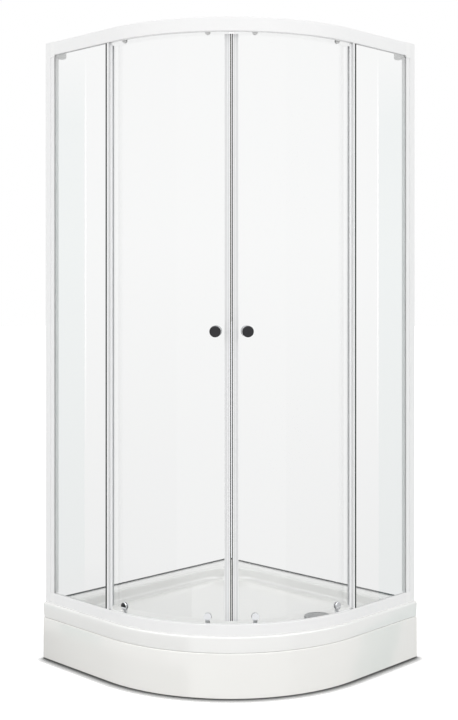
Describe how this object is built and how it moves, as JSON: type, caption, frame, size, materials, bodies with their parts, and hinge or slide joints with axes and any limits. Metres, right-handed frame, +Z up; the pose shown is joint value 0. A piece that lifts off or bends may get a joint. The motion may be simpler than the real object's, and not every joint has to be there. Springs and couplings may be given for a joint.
{
  "type": "corner shower enclosure",
  "caption": "Quadrant corner shower enclosure: low moulded tray with apron, flat fixed glass panes and two curved sliding glass doors between white rails.",
  "frame": {"origin": "centre of the square footprint at the underside of the feet and apron", "axes": "+Z up; back corner at -X +Y, curved front faces +X -Y; wall planes at x = -0.45 and y = +0.45"},
  "size_m": [0.9, 0.9, 2.09],
  "materials": {
    "tray_acrylic": "glossy white moulded acrylic",
    "apron_acrylic": "glossy white sheet acrylic",
    "zinc_steel": "zinc-plated steel",
    "black_plastic": "matt black plastic",
    "grey_plastic": "plain grey plastic",
    "black_rubber": "matt black rubber",
    "chrome_trim": "polished chrome",
    "satin_grey": "satin grey metal",
    "white_frame": "white powder coat on aluminium",
    "white_plastic": "white moulded plastic",
    "mill_aluminium": "plain aluminium",
    "clear_glass": "clear toughened glass",
    "clear_pvc": "clear flexible plastic",
    "black_magnet": "black magnetic strip",
    "black_chrome": "dark polished chrome",
    "white_nylon": "white nylon"
  },
  "bodies": {
    "root": {"tray_shell": "tray_acrylic", "front_apron": "apron_acrylic", "apron_clips": "zinc_steel", "support_bars": "zinc_steel", "foot_pads": "black_plastic", "foot_bolts": "zinc_steel", "foot_nuts": "zinc_steel", "waste_body": "grey_plastic", "waste_gasket": "black_rubber", "waste_ring": "chrome_trim", "wall_profile_left": "white_frame", "wall_profile_right": "white_frame", "frame_profile_left": "white_frame", "frame_profile_right": "white_frame", "fixed_glass_left": "clear_glass", "fixed_glass_right": "clear_glass", "fixed_seal_left": "clear_pvc", "fixed_seal_right": "clear_pvc", "top_rail": "white_frame", "bottom_rail": "white_frame", "corner_connectors": "white_plastic", "connector_screws": "chrome_trim", "frame_screws": "chrome_trim", "screw_caps": "white_plastic", "rail_infill": "white_plastic", "upper_track_left": "mill_aluminium", "upper_track_right": "mill_aluminium", "lower_track_left": "mill_aluminium", "lower_track_right": "mill_aluminium", "door_stops": "black_rubber"},
    "door_left": {"door_glass_left": "clear_glass", "magnet_holder_left": "clear_pvc", "magnet_strip_left": "black_magnet", "tail_seal_left": "clear_pvc", "outer_knob_left": "black_chrome", "inner_knob_left": "chrome_trim", "knob_stud_left": "chrome_trim", "upper_hangers_left": "chrome_trim", "lower_brackets_left": "chrome_trim"},
    "top_wheel_tail_left": {"top_wheel_tail_left": "white_nylon"},
    "top_wheel_lead_left": {"top_wheel_lead_left": "white_nylon"},
    "low_wheel_tail_left": {"low_wheel_tail_left": "white_nylon"},
    "low_wheel_lead_left": {"low_wheel_lead_left": "white_nylon"},
    "door_right": {"door_glass_right": "clear_glass", "magnet_holder_right": "clear_pvc", "magnet_strip_right": "black_magnet", "tail_seal_right": "clear_pvc", "outer_knob_right": "black_chrome", "inner_knob_right": "chrome_trim", "knob_stud_right": "chrome_trim", "upper_hangers_right": "chrome_trim", "lower_brackets_right": "chrome_trim"},
    "top_wheel_tail_right": {"top_wheel_tail_right": "white_nylon"},
    "top_wheel_lead_right": {"top_wheel_lead_right": "white_nylon"},
    "low_wheel_tail_right": {"low_wheel_tail_right": "white_nylon"},
    "low_wheel_lead_right": {"low_wheel_lead_right": "white_nylon"},
    "waste_cover": {"waste_cover": "satin_grey"}
  },
  "joints": [
    {"name": "door_left_slide", "type": "hinge", "parent": "root", "child": "door_left", "pos_m": [-0.17725, 0.31664, 1.14], "axis": [0, 0, -1], "range_deg": [0, 19]},
    {"name": "top_wheel_tail_left_spin", "type": "hinge", "parent": "door_left", "child": "top_wheel_tail_left", "pos_m": [-0.07628, -0.41245, 2.0744], "axis": [0.0462, -0.9989, 0], "range_deg": [-5, 1478]},
    {"name": "top_wheel_lead_left_spin", "type": "hinge", "parent": "door_left", "child": "top_wheel_lead_left", "pos_m": [0.20586, -0.31184, 2.0744], "axis": [0.5962, -0.8028, 0], "range_deg": [-5, 1478]},
    {"name": "low_wheel_tail_left_spin", "type": "hinge", "parent": "door_left", "child": "low_wheel_tail_left", "pos_m": [-0.07628, -0.41245, 0.2034], "axis": [0.0462, -0.9989, 0], "range_deg": [-5, 1870]},
    {"name": "low_wheel_lead_left_spin", "type": "hinge", "parent": "door_left", "child": "low_wheel_lead_left", "pos_m": [0.20586, -0.31184, 0.2034], "axis": [0.5962, -0.8028, 0], "range_deg": [-5, 1870]},
    {"name": "door_right_slide", "type": "hinge", "parent": "root", "child": "door_right", "pos_m": [-0.31664, 0.17725, 1.14], "axis": [0, 0, 1], "range_deg": [0, 19]},
    {"name": "top_wheel_tail_right_spin", "type": "hinge", "parent": "door_right", "child": "top_wheel_tail_right", "pos_m": [0.41245, 0.07628, 2.0744], "axis": [-0.9989, 0.0462, 0], "range_deg": [-5, 1478]},
    {"name": "top_wheel_lead_right_spin", "type": "hinge", "parent": "door_right", "child": "top_wheel_lead_right", "pos_m": [0.31184, -0.20586, 2.0744], "axis": [-0.8028, 0.5962, 0], "range_deg": [-5, 1478]},
    {"name": "low_wheel_tail_right_spin", "type": "hinge", "parent": "door_right", "child": "low_wheel_tail_right", "pos_m": [0.41245, 0.07628, 0.2034], "axis": [-0.9989, 0.0462, 0], "range_deg": [-5, 1870]},
    {"name": "low_wheel_lead_right_spin", "type": "hinge", "parent": "door_right", "child": "low_wheel_lead_right", "pos_m": [0.31184, -0.20586, 0.2034], "axis": [-0.8028, 0.5962, 0], "range_deg": [-5, 1870]},
    {"name": "waste_cover_lift", "type": "slide", "parent": "root", "child": "waste_cover", "axis": [0, 0, 1], "range_m": [0, 0.04]}
  ],
  "couplings": [
    {"joint": "top_wheel_tail_left_spin", "follows": "door_left_slide", "ratio": 77.479},
    {"joint": "top_wheel_lead_left_spin", "follows": "door_left_slide", "ratio": 77.479},
    {"joint": "low_wheel_tail_left_spin", "follows": "door_left_slide", "ratio": 98.14},
    {"joint": "low_wheel_lead_left_spin", "follows": "door_left_slide", "ratio": 98.14},
    {"joint": "top_wheel_tail_right_spin", "follows": "door_right_slide", "ratio": 77.479},
    {"joint": "top_wheel_lead_right_spin", "follows": "door_right_slide", "ratio": 77.479},
    {"joint": "low_wheel_tail_right_spin", "follows": "door_right_slide", "ratio": 98.14},
    {"joint": "low_wheel_lead_right_spin", "follows": "door_right_slide", "ratio": 98.14}
  ]
}
